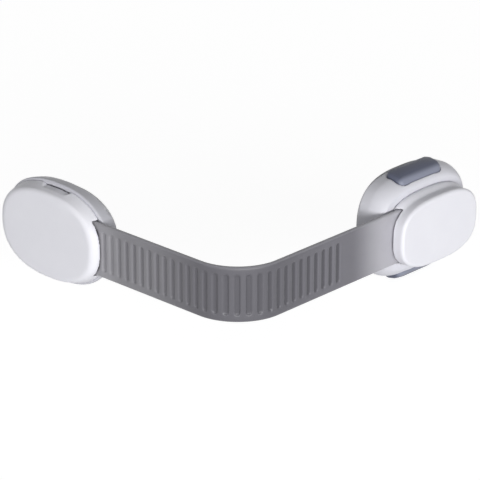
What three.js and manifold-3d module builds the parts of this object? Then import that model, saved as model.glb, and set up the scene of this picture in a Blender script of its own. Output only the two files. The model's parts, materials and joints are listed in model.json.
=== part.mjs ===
// Multi-use strap lock: two stick-on pods joined by a flexible ribbed strap that turns a furniture corner.
// The latch pod has a button on its top and one on its underside. Squeezing both frees the strap's cap.
// Millimetres, +Z up. The origin is the centre of the latch pod's adhesive face, which faces +Y.
// Inside each pod x runs along the pod, y is its height and z points out of the furniture.
import * as THREE from 'three';
import { mergeVertices } from 'three/addons/utils/BufferGeometryUtils.js';
import Module from 'manifold-3d';

const wasm = await Module();
wasm.setup();

// Driving dimensions: clearances
const SEAT = 0.3;
const RUNNING_GAP = 0.4;

// How far a cutting tool reaches past the piece that it cuts
const FAR = 60;
const PAST = 1;

// Driving dimensions: strap
const STRAP_WIDTH = 17.7;
const STRAP_THICKNESS = 1.8;
const BEND_RADIUS = 16;
const LATCH_TO_CORNER = 84.8;
const ANCHOR_TO_CORNER = 79;
const STRAP_OVER_LATCH = 12;
const STRAP_OVER_ANCHOR = 8;
const RIB_COUNT = 29;
const RIB_PITCH = 3.27;
const RIB_WIDTH = 1.6;
const PLAIN_STRETCH = 25.8;
const POCKET_DEPTH = 0.7;
const RAIL_WIDTH = 2.3;

// Driving dimensions: both pods
const PAD_THICKNESS = 1;
const PAD_INSET = 1.2;
const WALL = 1.6;
const OVAL_POWER = 2.8;
const OVAL_POINTS = 44;

// Driving dimensions: latch housing and its base plate
const HOUSING_LENGTH = 42.4;
const HOUSING_HEIGHT = 35.2;
const HOUSING_TAPER = 0.1;
const SHOULDER_DEPTH = 5.6;
const SHOULDER_ENDS = 2.1;
const SHOULDER_SIDES = 5.2;
const SHOULDER_POWER = 1.5;
const STRAP_RUN = 0.5;
const DECK = 1.4;
const BASE_PLATE = 1.2;
const TRAY_STEP_ENDS = 5.7;
const TRAY_STEP_SIDES = 7.8;
const TRAY_CORNER = 3.5;
const TRAY_WALL = 1.2;
const TRAY_FLOOR = 1.4;
const BASE_SCREW_SPREAD = 25;
const SCREW_PAD = 0.9;

// Driving dimensions: buttons and their shared spring
const BUTTON_LENGTH = 20.5;
const BUTTON_PROUD = 0.45;
const BUTTON_CROWN_POWER = 1.9;
const BUTTON_CORNER = 2.2;
const BUTTON_BACK_STRIP = 1.1;
const BUTTON_FRONT_STRIP = 0.9;
const BUTTON_TRAVEL = 2.6;
const BUTTON_FLANGE = 1.2;
const BUTTON_WING = 1;
const SLIDER_WIDTH = 11;
const SLIDER = 1.5;
const END_BAR = 2.2;
const SPRING_DIAMETER = 2.8;
const SPRING_WIRE = 0.45;
const SPRING_TURNS = 5;
const SPRING_SEAT = 1;

// Driving dimensions: strap cap and hook plate
const CAP_STEP_ENDS = 2.7;
const CAP_STEP_SIDES = 5.7;
const CAP_DRAFT = 0.4;
const CAP_FLARE = 3.2;
const CAP_EDGE = 1;
const CAP_RISE = 4.7;
const HOOK_PLATE = 1.9;
const HOOK_INSET = 2.8;
const HOOK_THICKNESS = 1.6;
const HOOK_WIDTH = 7;
const HOOK_PLAY = 1.2;
const BARB_REACH = 1;
const TONGUE_SCREW_AT = 11;
const TONGUE_SCREW_EDGE = 3.85;
const TONGUE_PAST_SCREW = 3.5;

// Driving dimensions: anchor pod
const ANCHOR_LENGTH = 45;
const ANCHOR_HEIGHT = 32.6;
const ANCHOR_POWER = 2.35;
const ANCHOR_TAPER = 1.3;
const ANCHOR_BELLY = 0.45;
const ANCHOR_COVER_RISE = 3.1;
const COVER_EDGE = 3;
const COVER_INSET = 0.7;
const PRY_SLOT_LENGTH = 14;
const PRY_SLOT_AT = 1.5;
const PRY_SLOT_HEIGHT = 2.3;
const PRY_SLOT_DEPTH = 1;

// Driving dimensions: screws
const SHANK_RADIUS = 0.9;
const HEAD_RADIUS = 1.7;
const HEAD_HEIGHT = 0.8;
const DRIVE_WIDTH = 0.5;
const DRIVE_LENGTH = 2.2;
const BOSS_WALL = 1.3;

// How finely round forms are stepped
const ROUND_SIDES = 16;
const CORNER_STEPS = 4;
const EDGE_STEPS = 4;
const SHOULDER_STEPS = 7;
const COVER_EDGE_STEPS = 6;
const BEND_STEPS = 20;
const COIL_STEPS = 10;
const WIRE_STEPS = 6;
const MERGE_DISTANCE = 1e-4;

// Levels of the latch pod, counted out from its adhesive face
const podBack = PAD_THICKNESS + SEAT;
const plateFront = podBack + BASE_PLATE;
const strapBack = STRAP_OVER_LATCH - STRAP_THICKNESS / 2;
const strapFront = STRAP_OVER_LATCH + STRAP_THICKNESS / 2;
const housingFront = strapBack - STRAP_RUN;
const shoulderBack = housingFront - SHOULDER_DEPTH;
const deckBack = housingFront - DECK;
const hookPlateFront = strapBack - SEAT;
const hookPlateBack = hookPlateFront - HOOK_PLATE;
const trayFront = hookPlateBack - SEAT;
const trayBack = trayFront - TRAY_FLOOR;
const sliderFront = trayBack - RUNNING_GAP;
const sliderBack = sliderFront - SLIDER;
const capBack = housingFront + RUNNING_GAP;
const capFront = strapFront + CAP_RISE;
const hookTip = plateFront + SEAT;
const barbFront = sliderBack - HOOK_PLAY;

// Levels of the anchor pod, counted out from its adhesive face
const anchorStrapBack = STRAP_OVER_ANCHOR - STRAP_THICKNESS / 2;
const anchorStrapFront = STRAP_OVER_ANCHOR + STRAP_THICKNESS / 2;
const strapBed = anchorStrapBack - SEAT;
const anchorRim = anchorStrapBack;
const coverBack = anchorRim + RUNNING_GAP;
const coverFront = anchorStrapFront + ANCHOR_COVER_RISE;

// Outlines and places along and across the pods that several pieces share
const trayLength = HOUSING_LENGTH - 2 * TRAY_STEP_ENDS;
const trayHeight = HOUSING_HEIGHT - 2 * TRAY_STEP_SIDES;
const capLength = HOUSING_LENGTH - 2 * CAP_STEP_ENDS;
const capHeight = HOUSING_HEIGHT - 2 * CAP_STEP_SIDES;
const hookAt = trayHeight / 2 - HOOK_INSET;
const holeRadius = SHANK_RADIUS + SEAT;
const counterbore = HEAD_HEIGHT + SEAT;
const screwPadFront = plateFront + SCREW_PAD;
const bossRadius = holeRadius + BOSS_WALL;
const slotHalf = STRAP_WIDTH / 2 + SEAT;
const tongueEnd = TONGUE_SCREW_AT - TONGUE_PAST_SCREW;
const tongueScrewSide = STRAP_WIDTH / 2 - TONGUE_SCREW_EDGE;
const tongueScrews = [1, -1].map((side) => ({ x: TONGUE_SCREW_AT, y: side * tongueScrewSide }));
const farScrew = { x: -TONGUE_SCREW_AT, y: 0 };
const anchorScrews = [...tongueScrews, farScrew];
const capTongueScrews = tongueScrews.map(({ x, y }) => ({ x: -x, y }));
const capFarScrew = { x: -farScrew.x, y: farScrew.y };
const capScrews = [...capTongueScrews, capFarScrew];
const baseScrews = [1, -1].map((side) => ({ x: (side * BASE_SCREW_SPREAD) / 2, y: 0 }));
const windowInner = hookAt - SEAT;
const windowOuter = hookAt + HOOK_THICKNESS + SEAT + BUTTON_TRAVEL;
const endBarInner = windowInner - END_BAR;
const trayOuter = trayHeight / 2 + TRAY_WALL;
const buttonSkin = trayOuter + RUNNING_GAP + BUTTON_TRAVEL;
const flangeTop = buttonSkin - 2 * SEAT;
const flangeBottom = flangeTop - BUTTON_FLANGE;
const springAt = sliderFront - SPRING_DIAMETER / 2 - SEAT / 2;

// Finishes
const finish = (color, roughness, metalness = 0) => () =>
  new THREE.MeshStandardMaterial({ color, roughness, metalness });
const whitePlastic = finish(0xe9e9ee, 0.45);
const innerPlastic = finish(0xd9d9de, 0.55);
const slatePlastic = finish(0x5b5e6c, 0.5);
const smokyStrap = finish(0x77767c, 0.4);
const foamTape = finish(0xcfd0d2, 0.9);
const steel = finish(0xb9bbbf, 0.35, 1);

// Solids and meshes
function solid(geometry) {
  const bare = geometry.index ? geometry.toNonIndexed() : geometry.clone();
  bare.deleteAttribute('normal');
  bare.deleteAttribute('uv');
  const merged = mergeVertices(bare, MERGE_DISTANCE);
  const mesh = new wasm.Mesh({
    numProp: 3,
    vertProperties: new Float32Array(merged.attributes.position.array),
    triVerts: new Uint32Array(merged.index.array),
  });
  return new wasm.Manifold(mesh);
}

function geometryOf(body) {
  const mesh = body.getMesh();
  const geometry = new THREE.BufferGeometry();
  geometry.setAttribute('position', new THREE.BufferAttribute(mesh.vertProperties, 3));
  geometry.setIndex(new THREE.BufferAttribute(mesh.triVerts, 1));
  geometry.computeVertexNormals();
  return geometry;
}

function place(group, name, body, material) {
  const mesh = new THREE.Mesh(geometryOf(body), material());
  mesh.name = name;
  group.add(mesh);
  return mesh;
}

const join = (bodies) => bodies.reduce((whole, body) => whole.add(body));
const cut = (body, tools) => tools.reduce((rest, tool) => rest.subtract(tool), body);

// Shapes
function oval(halfLength, halfHeight, power) {
  const round = (value) => Math.sign(value) * Math.abs(value) ** (2 / power);
  return Array.from({ length: OVAL_POINTS }, (_, i) => {
    const turn = (2 * Math.PI * i) / OVAL_POINTS;
    return new THREE.Vector2(halfLength * round(Math.cos(turn)), halfHeight * round(Math.sin(turn)));
  });
}

// A pebble is a stack of ovals: each station gives its level, how far it is drawn in from the full oval
// and, where its sides slope more than its ends, how much further it is drawn in above and below
function pebble(length, height, power, stations) {
  const positions = [];
  for (const [level, inset, further = 0] of stations) {
    for (const point of oval(length / 2 - inset, height / 2 - inset - further, power)) {
      positions.push(point.x, point.y, level);
    }
  }
  positions.push(0, 0, stations[0][0], 0, 0, stations.at(-1)[0]);
  const index = [];
  const bottom = stations.length * OVAL_POINTS;
  const last = bottom - OVAL_POINTS;
  for (let i = 0; i < OVAL_POINTS; i += 1) {
    const next = (i + 1) % OVAL_POINTS;
    for (let ring = 0; ring < last; ring += OVAL_POINTS) {
      const above = ring + OVAL_POINTS;
      index.push(ring + i, ring + next, above + next, ring + i, above + next, above + i);
    }
    index.push(bottom, next, i, bottom + 1, last + i, last + next);
  }
  const geometry = new THREE.BufferGeometry();
  geometry.setAttribute('position', new THREE.Float32BufferAttribute(positions, 3));
  geometry.setIndex(index);
  return solid(geometry);
}

function roundedEdge(radius, level, inset, steps = EDGE_STEPS) {
  return Array.from({ length: steps + 1 }, (_, i) => {
    const turn = (Math.PI / 2) * (i / steps);
    return [level - radius + radius * Math.sin(turn), inset + radius * (1 - Math.cos(turn))];
  });
}

function extrude(shape, low, high) {
  const geometry = new THREE.ExtrudeGeometry(shape, {
    depth: high - low,
    bevelEnabled: false,
    curveSegments: CORNER_STEPS,
  });
  return geometry.translate(0, 0, low);
}

function block(x0, x1, y0, y1, z0, z1) {
  const geometry = new THREE.BoxGeometry(x1 - x0, y1 - y0, z1 - z0);
  return solid(geometry.translate((x0 + x1) / 2, (y0 + y1) / 2, (z0 + z1) / 2));
}

function roundedBlock(length, height, radius, low, high) {
  const shape = new THREE.Shape();
  const x = length / 2;
  const y = height / 2;
  shape.moveTo(radius - x, -y);
  shape.absarc(x - radius, radius - y, radius, -Math.PI / 2, 0);
  shape.absarc(x - radius, y - radius, radius, 0, Math.PI / 2);
  shape.absarc(radius - x, y - radius, radius, Math.PI / 2, Math.PI);
  shape.absarc(radius - x, radius - y, radius, Math.PI, 1.5 * Math.PI);
  return solid(extrude(shape, low, high));
}

function rod(radius, low, high, at) {
  const geometry = new THREE.CylinderGeometry(radius, radius, high - low, ROUND_SIDES);
  return solid(geometry.rotateX(Math.PI / 2).translate(at.x, at.y, (low + high) / 2));
}

const turnedOver = (body) => body.rotate([0, 0, 180]);

// A self-tapping screw with its head at the back: the head's face is at level back, its tip at level tip
function screw(back, tip, at) {
  const profile = [
    [0, back],
    [HEAD_RADIUS, back],
    [HEAD_RADIUS, back + HEAD_HEIGHT],
    [SHANK_RADIUS, back + HEAD_HEIGHT],
    [SHANK_RADIUS, tip - SHANK_RADIUS],
    [0, tip],
  ].map(([radius, level]) => new THREE.Vector2(radius, level));
  const turned = solid(new THREE.LatheGeometry(profile, ROUND_SIDES).rotateX(Math.PI / 2));
  const reach = DRIVE_LENGTH / 2;
  const half = DRIVE_WIDTH / 2;
  const depth = HEAD_HEIGHT / 2;
  const slots = [
    block(-reach, reach, -half, half, back - PAST, back + depth),
    block(-half, half, -reach, reach, back - PAST, back + depth),
  ];
  return cut(turned, slots).translate([at.x, at.y, 0]);
}

const screwHole = (back, tip, at) => [
  rod(holeRadius, back - PAST, tip, at),
  rod(HEAD_RADIUS + SEAT, back - PAST, back + counterbore, at),
];

// Latch pod: the housing's shoulder slopes in to its front rim, further above and below than at the ends
function shoulder(front, inset, power = SHOULDER_POWER) {
  return Array.from({ length: SHOULDER_STEPS + 1 }, (_, i) => {
    const turn = (Math.PI / 2) * (i / SHOULDER_STEPS);
    const out = Math.sin(turn) ** (2 / power);
    const drawn = 1 - Math.cos(turn) ** (2 / power);
    const level = shoulderBack + (front - shoulderBack) * out;
    return [level, inset + SHOULDER_ENDS * drawn, (SHOULDER_SIDES - SHOULDER_ENDS) * drawn];
  });
}

const housingStations = [[podBack, HOUSING_TAPER], ...shoulder(housingFront, 0)];
const housingOuter = pebble(HOUSING_LENGTH, HOUSING_HEIGHT, OVAL_POWER, housingStations);
const buttonFront = housingFront - BUTTON_FRONT_STRIP - SEAT;
const buttonBack = podBack + BUTTON_BACK_STRIP + SEAT;

function buttonProfile(clearance, low) {
  const depth = buttonFront - buttonBack + 2 * clearance;
  const middle = (buttonFront + buttonBack) / 2;
  const length = BUTTON_LENGTH + 2 * clearance;
  const upright = roundedBlock(length, depth, BUTTON_CORNER + clearance, low, FAR);
  return upright.rotate([-90, 0, 0]).translate([0, 0, middle]);
}

function latchHousing() {
  const cavity = pebble(HOUSING_LENGTH, HOUSING_HEIGHT, OVAL_POWER, [
    [podBack - PAST, HOUSING_TAPER + WALL],
    [podBack, HOUSING_TAPER + WALL],
    ...shoulder(deckBack, WALL),
  ]);
  const trayBlock = roundedBlock(
    trayLength + 2 * TRAY_WALL, trayHeight + 2 * TRAY_WALL, TRAY_CORNER + TRAY_WALL,
    trayBack, deckBack + SEAT,
  );
  const bosses = baseScrews.map((at) => rod(bossRadius, screwPadFront + SEAT, trayBack + SEAT, at));
  const recess = roundedBlock(trayLength, trayHeight, TRAY_CORNER, trayFront, FAR);
  const hookWindow = block(
    -HOOK_WIDTH / 2 - SEAT, HOOK_WIDTH / 2 + SEAT,
    hookAt - BARB_REACH - SEAT, hookAt + HOOK_THICKNESS + SEAT, trayBack - PAST, FAR,
  );
  const buttonOpening = buttonProfile(SEAT, trayOuter + SEAT / 2);
  const pilots = baseScrews.map((at) => rod(holeRadius, podBack, trayBack - SEAT, at));
  const shell = housingOuter.subtract(cavity).add(trayBlock.intersect(housingOuter));
  const windows = [hookWindow, turnedOver(hookWindow), buttonOpening, turnedOver(buttonOpening)];
  return cut(join([cut(shell, [recess, ...windows]), ...bosses]), pilots);
}

function latchBasePlate() {
  const outline = pebble(HOUSING_LENGTH, HOUSING_HEIGHT, OVAL_POWER, [
    [podBack, HOUSING_TAPER + WALL + SEAT],
    [plateFront, HOUSING_TAPER + WALL + SEAT],
  ]);
  const pads = baseScrews.map((at) => rod(HEAD_RADIUS + BOSS_WALL, podBack, screwPadFront, at));
  return cut(join([outline, ...pads]), baseScrews.flatMap((at) => screwHole(podBack, FAR, at)));
}

function adhesivePad(length, height, power, inset) {
  return pebble(length, height, power, [
    [0, inset],
    [PAD_THICKNESS, inset],
  ]);
}

// Each button has a crowned face a little proud of the housing, and carries a slider with a window:
// the hook's barb sits behind the window's inner edge
function button() {
  const crown = [
    [podBack, HOUSING_TAPER - BUTTON_PROUD],
    ...shoulder(housingFront, -BUTTON_PROUD, BUTTON_CROWN_POWER),
  ];
  const outer = pebble(HOUSING_LENGTH, HOUSING_HEIGHT, OVAL_POWER, crown);
  const head = outer.intersect(buttonProfile(0, buttonSkin));
  const stem = BUTTON_LENGTH / 2 - SEAT;
  const wing = BUTTON_LENGTH / 2 + BUTTON_WING;
  const back = buttonBack + SEAT;
  const neck = block(-stem, stem, flangeBottom, buttonSkin + SEAT, back, sliderFront);
  const flange = block(-wing, wing, flangeBottom, flangeTop, back, sliderFront);
  const slider = block(
    -SLIDER_WIDTH / 2, SLIDER_WIDTH / 2, endBarInner, flangeBottom + SEAT, sliderBack, sliderFront,
  );
  const seatHalf = SPRING_DIAMETER / 2 + SEAT / 2;
  const springSeat = block(
    -seatHalf, seatHalf, endBarInner, endBarInner + SPRING_SEAT, springAt - seatHalf, sliderFront,
  );
  const hookWindow = block(
    -HOOK_WIDTH / 2 - SEAT, HOOK_WIDTH / 2 + SEAT, windowInner, windowOuter,
    sliderBack - PAST, sliderFront + PAST,
  );
  return join([head, neck, flange, slider.subtract(hookWindow), springSeat]);
}

// One compression spring stands between the two sliders and pushes both buttons out
class Coil extends THREE.Curve {
  getPoint(share) {
    const radius = (SPRING_DIAMETER - SPRING_WIRE) / 2;
    const reach = endBarInner - SEAT - SPRING_WIRE / 2;
    const turn = 2 * Math.PI * SPRING_TURNS * share;
    return new THREE.Vector3(radius * Math.cos(turn), (2 * share - 1) * reach, radius * Math.sin(turn));
  }
}

function releaseSpring() {
  const section = new THREE.Shape();
  section.absarc(0, 0, SPRING_WIRE / 2, 0, 2 * Math.PI);
  const curve = new Coil();
  const geometry = new THREE.ExtrudeGeometry(section, {
    steps: SPRING_TURNS * COIL_STEPS,
    curveSegments: WIRE_STEPS,
    extrudePath: curve,
  });
  const centres = curve.getPoints(SPRING_TURNS * COIL_STEPS);
  const nextTurn = COIL_STEPS / 2 + 1;
  let gap = FAR;
  centres.forEach((point, i) => centres.slice(i + nextTurn).forEach((other) => {
    gap = Math.min(gap, point.distanceTo(other) - SPRING_WIRE);
  }));
  console.log(`release spring: least gap between turns ${gap.toFixed(2)} mm`);
  return solid(geometry.translate(0, 0, springAt));
}

// Strap cap and hook plate: the strap's tongue is clamped between them, on the side of the corner
function strapCap() {
  const outer = pebble(capLength, capHeight, OVAL_POWER, [
    [capBack, 0],
    [capBack + CAP_FLARE, CAP_DRAFT],
    ...roundedEdge(CAP_EDGE, capFront, CAP_DRAFT),
  ]);
  const inner = pebble(capLength, capHeight, OVAL_POWER, [
    [capBack - PAST, WALL],
    [capBack, WALL],
    [capBack + CAP_FLARE, WALL + CAP_DRAFT],
    [capFront - WALL, WALL + CAP_DRAFT],
  ]);
  const slot = block(-FAR, SEAT - tongueEnd, -slotHalf, slotHalf, capBack - PAST, strapFront + SEAT);
  const tip = capFront - WALL + SEAT;
  const onStrap = capTongueScrews.map((at) => rod(bossRadius, strapFront + SEAT, tip, at));
  const onPlate = rod(bossRadius, hookPlateFront + SEAT, tip, capFarScrew);
  const pilots = capScrews.map((at) => rod(holeRadius, capBack, capFront - WALL, at));
  return cut(join([cut(outer.subtract(inner), [slot]), ...onStrap, onPlate]), pilots);
}

function hookPlate() {
  const plate = roundedBlock(
    trayLength - 2 * SEAT, trayHeight - 2 * SEAT, TRAY_CORNER - SEAT, hookPlateBack, hookPlateFront,
  );
  const outer = hookAt + HOOK_THICKNESS;
  const nose = hookAt - BARB_REACH;
  const outline = new THREE.Shape([
    [hookAt, hookPlateBack + SEAT],
    [hookAt, barbFront],
    [nose, barbFront],
    [nose, (barbFront + hookTip) / 2],
    [hookAt + SEAT, hookTip],
    [outer, hookTip],
    [outer, hookPlateBack + SEAT],
  ].map(([height, level]) => new THREE.Vector2(height, level)));
  const turn = new THREE.Matrix4().makeBasis(
    new THREE.Vector3(0, 1, 0), new THREE.Vector3(0, 0, 1), new THREE.Vector3(1, 0, 0),
  );
  const hook = solid(extrude(outline, -HOOK_WIDTH / 2, HOOK_WIDTH / 2).applyMatrix4(turn));
  const holes = capScrews.flatMap((at) => screwHole(hookPlateBack, FAR, at));
  return cut(join([plate, hook, turnedOver(hook)]), holes);
}

// Anchor pod: a tapered base with a bed for the strap, and a cover with a wide rounded edge
// and a shallow slot above and below for prying it open
const baseStations = [
  [podBack, ANCHOR_TAPER],
  [(podBack + anchorRim) / 2, ANCHOR_BELLY],
  [anchorRim - SEAT, 0],
  [anchorRim, SEAT],
];

function anchorBase() {
  const outer = pebble(ANCHOR_LENGTH, ANCHOR_HEIGHT, ANCHOR_POWER, baseStations);
  const floor = podBack + WALL;
  const inner = pebble(ANCHOR_LENGTH, ANCHOR_HEIGHT, ANCHOR_POWER, [
    [floor, ANCHOR_TAPER + WALL],
    [anchorRim - SEAT, WALL],
    [anchorRim + PAST, WALL],
  ]);
  const bed = block(tongueEnd, FAR, -slotHalf, slotHalf, podBack, strapBed);
  const slot = block(tongueEnd, FAR, -slotHalf, slotHalf, strapBed, FAR);
  const pillar = rod(bossRadius, podBack, anchorRim, farScrew);
  const holes = anchorScrews.flatMap((at) => screwHole(podBack, FAR, at));
  const shell = outer.subtract(inner).add(bed.intersect(outer)).subtract(slot);
  return cut(shell.add(pillar), holes);
}

function anchorCover() {
  const outer = pebble(ANCHOR_LENGTH, ANCHOR_HEIGHT, ANCHOR_POWER, [
    [coverBack, COVER_INSET],
    ...roundedEdge(COVER_EDGE, coverFront, COVER_INSET, COVER_EDGE_STEPS),
  ]);
  const inner = pebble(ANCHOR_LENGTH, ANCHOR_HEIGHT, ANCHOR_POWER, [
    [coverBack - PAST, COVER_INSET + WALL],
    [coverBack, COVER_INSET + WALL],
    [coverFront - COVER_EDGE, COVER_INSET + WALL],
    [coverFront - WALL, COVER_INSET + COVER_EDGE],
  ]);
  const slot = block(
    TONGUE_SCREW_AT, FAR, -slotHalf, slotHalf, coverBack - PAST, anchorStrapFront + SEAT,
  );
  const core = pebble(ANCHOR_LENGTH, ANCHOR_HEIGHT, ANCHOR_POWER, [
    [coverBack - 2 * PAST, COVER_INSET + PRY_SLOT_DEPTH],
    [coverFront, COVER_INSET + PRY_SLOT_DEPTH],
  ]);
  const pryEnd = PRY_SLOT_AT + PRY_SLOT_LENGTH / 2;
  const prySlots = block(
    pryEnd - PRY_SLOT_LENGTH, pryEnd, -FAR, FAR, coverBack - PAST, coverBack + PRY_SLOT_HEIGHT,
  ).subtract(core);
  const top = coverFront - WALL + SEAT;
  const onStrap = tongueScrews.map((at) => rod(bossRadius, anchorStrapFront + SEAT, top, at));
  const onPillar = rod(bossRadius, anchorRim + SEAT, top, farScrew);
  const pilots = anchorScrews.map((at) => rod(holeRadius, podBack, coverFront - WALL, at));
  return cut(join([cut(outer.subtract(inner), [slot, prySlots]), ...onStrap, onPillar]), pilots);
}

// Strap: a flat band along a straight, bent and straight path, seen from above in the model's own frame
const corner = new THREE.Vector2(-LATCH_TO_CORNER, -STRAP_OVER_LATCH);
const latchLegEnd = -tongueEnd;
const anchorCentre = corner.y + ANCHOR_TO_CORNER;
const anchorLegEnd = anchorCentre - tongueEnd;
const halfBend = (BEND_RADIUS * Math.PI) / 4;
const bendCentre = new THREE.Vector2(corner.x + BEND_RADIUS, corner.y + BEND_RADIUS);

// A place on the strap: run is counted from the middle of the bend, positive towards the latch
function strapPlace(run) {
  if (run > halfBend) {
    return { x: bendCentre.x + run - halfBend, y: corner.y, turn: 0 };
  }
  if (run < -halfBend) {
    return { x: corner.x, y: bendCentre.y - run - halfBend, turn: -Math.PI / 2 };
  }
  const turn = run / BEND_RADIUS - Math.PI / 4;
  return {
    x: bendCentre.x + BEND_RADIUS * Math.sin(turn),
    y: bendCentre.y - BEND_RADIUS * Math.cos(turn),
    turn,
  };
}

function strapOutline(offset) {
  const runs = Array.from({ length: BEND_STEPS + 1 }, (_, i) => halfBend * (1 - (2 * i) / BEND_STEPS));
  const latchRun = halfBend + latchLegEnd - bendCentre.x;
  const anchorRun = -halfBend - (anchorLegEnd - bendCentre.y);
  return [latchRun, ...runs, anchorRun].map((run) => {
    const { x, y, turn } = strapPlace(run);
    return new THREE.Vector2(x + offset * Math.sin(turn), y - offset * Math.cos(turn));
  });
}

function strap() {
  const half = STRAP_THICKNESS / 2;
  const outline = new THREE.Shape([...strapOutline(half), ...strapOutline(-half).reverse()]);
  const band = solid(extrude(outline, -STRAP_WIDTH / 2, STRAP_WIDTH / 2));
  const latchRun = halfBend - capLength / 2 - bendCentre.x;
  const firstRib = latchRun - PLAIN_STRETCH;
  const panel = STRAP_WIDTH - 2 * RAIL_WIDTH;
  const gap = RIB_PITCH - RIB_WIDTH;
  const pockets = Array.from({ length: RIB_COUNT + 1 }, (_, i) => {
    const { x, y, turn } = strapPlace(firstRib + (0.5 - i) * RIB_PITCH);
    const tool = block(-gap / 2, gap / 2, -half - PAST, POCKET_DEPTH - half, -panel / 2, panel / 2);
    return tool.rotate([0, 0, THREE.MathUtils.radToDeg(turn)]).translate([x, y, 0]);
  });
  const latchHoles = capTongueScrews.map((at) =>
    rod(holeRadius, strapBack - PAST, strapFront + PAST, at).rotate([90, 0, 0]));
  const anchorHoles = tongueScrews.map((at) => {
    const hole = rod(holeRadius, anchorStrapBack - PAST, anchorStrapFront + PAST, at);
    const turned = hole.rotate([90, 0, 0]).rotate([0, 0, -90]);
    return turned.translate([corner.x + STRAP_OVER_ANCHOR, anchorCentre, 0]);
  });
  return cut(band, [...pockets, ...latchHoles, ...anchorHoles]);
}

// Assembly
const lock = new THREE.Group();
const latch = new THREE.Group();
latch.rotation.x = Math.PI / 2;
const anchorTurn = new THREE.Group();
anchorTurn.position.set(corner.x + STRAP_OVER_ANCHOR, anchorCentre, 0);
anchorTurn.rotation.z = -Math.PI / 2;
const anchor = new THREE.Group();
anchor.rotation.x = Math.PI / 2;
anchorTurn.add(anchor);
lock.add(latch, anchorTurn);

const padOnLatch = adhesivePad(HOUSING_LENGTH, HOUSING_HEIGHT, OVAL_POWER, PAD_INSET);
place(latch, 'latch_adhesive_pad', padOnLatch, foamTape);
place(latch, 'latch_base_plate', latchBasePlate(), innerPlastic);
place(latch, 'latch_housing', latchHousing(), whitePlastic);
place(latch, 'top_button', button(), slatePlastic);
place(latch, 'bottom_button', turnedOver(button()), slatePlastic);
place(latch, 'release_spring', releaseSpring(), steel);
baseScrews.forEach((at, i) => {
  const tip = trayBack - 2 * SEAT;
  place(latch, `base_screw_${i + 1}`, screw(podBack + SEAT / 2, tip, at), steel);
});

place(latch, 'strap_cap', strapCap(), whitePlastic);
place(latch, 'hook_plate', hookPlate(), innerPlastic);
capScrews.forEach((at, i) => {
  const tip = capFront - WALL - SEAT;
  place(latch, `cap_screw_${i + 1}`, screw(hookPlateBack + SEAT / 2, tip, at), steel);
});
place(lock, 'strap', strap(), smokyStrap);

const padOnAnchor = adhesivePad(ANCHOR_LENGTH, ANCHOR_HEIGHT, ANCHOR_POWER, ANCHOR_TAPER + PAD_INSET);
place(anchor, 'anchor_adhesive_pad', padOnAnchor, foamTape);
place(anchor, 'anchor_base', anchorBase(), whitePlastic);
place(anchor, 'anchor_cover', anchorCover(), whitePlastic);
anchorScrews.forEach((at, i) => {
  const tip = coverFront - WALL - SEAT;
  place(anchor, `anchor_screw_${i + 1}`, screw(podBack + SEAT / 2, tip, at), steel);
});

export default lock;
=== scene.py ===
# %% [markdown]
# # A stick-on strap lock
# Two white plastic pods are stuck round the outside corner of a cupboard, and a smoky ribbed strap
# joins them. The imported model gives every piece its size, place and motion. This lesson dresses
# it: it makes finer meshes for the pieces that show, gives every surface a procedural finish, and
# sets up camera, floor and light.

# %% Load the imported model
import json
import math

import bpy
import numpy as np
from mathutils import Matrix, Vector


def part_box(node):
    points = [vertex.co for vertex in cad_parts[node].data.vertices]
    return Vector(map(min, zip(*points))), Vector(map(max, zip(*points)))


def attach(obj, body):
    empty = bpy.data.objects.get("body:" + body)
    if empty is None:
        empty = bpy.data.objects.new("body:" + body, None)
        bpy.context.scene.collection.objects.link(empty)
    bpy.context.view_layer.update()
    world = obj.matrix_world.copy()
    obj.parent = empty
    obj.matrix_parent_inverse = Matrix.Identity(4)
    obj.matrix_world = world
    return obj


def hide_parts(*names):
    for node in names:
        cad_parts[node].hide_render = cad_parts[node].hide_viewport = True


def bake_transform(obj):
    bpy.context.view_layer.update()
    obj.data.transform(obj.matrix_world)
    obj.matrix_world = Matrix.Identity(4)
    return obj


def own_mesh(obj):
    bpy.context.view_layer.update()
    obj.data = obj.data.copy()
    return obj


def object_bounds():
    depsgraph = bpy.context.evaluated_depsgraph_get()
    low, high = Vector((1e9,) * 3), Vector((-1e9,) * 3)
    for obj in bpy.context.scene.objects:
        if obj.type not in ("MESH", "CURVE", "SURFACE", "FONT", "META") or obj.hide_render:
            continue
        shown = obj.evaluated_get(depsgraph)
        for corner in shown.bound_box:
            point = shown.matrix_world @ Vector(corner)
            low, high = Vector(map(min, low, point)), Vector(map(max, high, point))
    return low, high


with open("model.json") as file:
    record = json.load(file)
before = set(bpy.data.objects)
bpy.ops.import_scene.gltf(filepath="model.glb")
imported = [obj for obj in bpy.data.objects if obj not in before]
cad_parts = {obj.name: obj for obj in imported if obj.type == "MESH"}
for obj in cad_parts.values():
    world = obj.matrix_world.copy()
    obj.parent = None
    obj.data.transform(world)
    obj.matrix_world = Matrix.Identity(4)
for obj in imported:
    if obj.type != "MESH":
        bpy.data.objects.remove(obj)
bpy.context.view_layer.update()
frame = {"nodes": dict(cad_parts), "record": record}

MM = 0.001

# %% [markdown]
# ## The camera
# A long lens far away gives the photograph's weak perspective. The camera could be placed by
# trial, but the strap's two straight legs are easy to follow in the picture. So it is aimed by
# saying at which pixel the middle lines of the two legs would meet.

# %% Camera
IMAGE_SIDE = 480
SENSOR = 36
CAMERA_AZIMUTH, CAMERA_ELEVATION = -46.4, 22.7
CAMERA_DISTANCE = 0.8
PIXELS_PER_METRE = 3430
CORNER_PIXEL = (239.7, 303.6)
STRAP_THICKNESS = 1.8


def new_object(name, data):
    made = bpy.data.objects.new(name, data)
    bpy.context.scene.collection.objects.link(made)
    return made


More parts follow.
